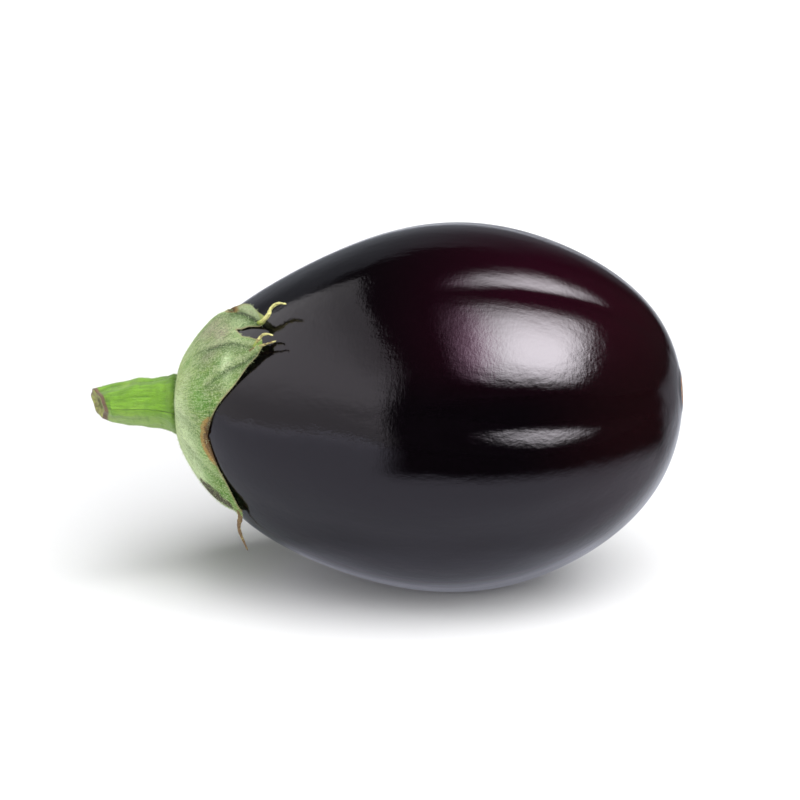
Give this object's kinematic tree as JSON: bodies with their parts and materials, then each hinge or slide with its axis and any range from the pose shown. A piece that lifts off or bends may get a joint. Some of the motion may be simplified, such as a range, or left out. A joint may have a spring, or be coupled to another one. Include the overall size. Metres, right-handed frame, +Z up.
{
  "type": "globe eggplant",
  "caption": "Fresh globe eggplant lying on its side, with dark glossy ribbed skin, a green six-lobed calyx and a cut stem.",
  "frame": {"origin": "middle of the small flat spot that the fruit rests on", "axes": "+Z up, +X toward the blossom end along the fruit, stem toward -X"},
  "size_m": [0.1641, 0.1024, 0.1022],
  "materials": {
    "skin": "glossy",
    "calyx": "felted",
    "stem": "satin"
  },
  "bodies": {
    "root": {"fruit": "skin", "calyx": "calyx", "stem": "stem"}
  },
  "joints": []
}
